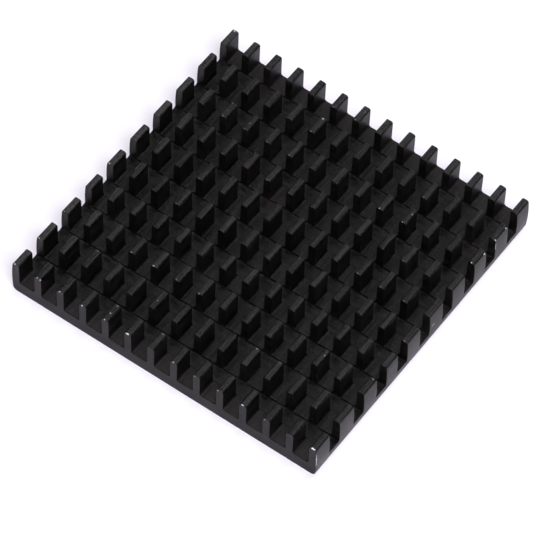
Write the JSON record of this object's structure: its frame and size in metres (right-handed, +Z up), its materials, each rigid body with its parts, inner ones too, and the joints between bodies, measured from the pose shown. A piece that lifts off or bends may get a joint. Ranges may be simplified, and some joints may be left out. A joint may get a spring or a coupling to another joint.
{
  "type": "pin fin heat sink",
  "caption": "Low square plate that carries rows of short flat pins, sawn from one finned extrusion, to sit on a chip and cool it.",
  "frame": {"origin": "centre of the flat underside", "axes": "+X across the fins, +Y along the channels, +Z up out of the base plate, through the pins' tips"},
  "size_m": [0.04, 0.04, 0.0048],
  "materials": {
    "anodised_aluminium": "black anodised, satin, with bare metal at a few nicked pin corners"
  },
  "bodies": {
    "root": {"heat_sink": "anodised_aluminium"}
  },
  "joints": []
}
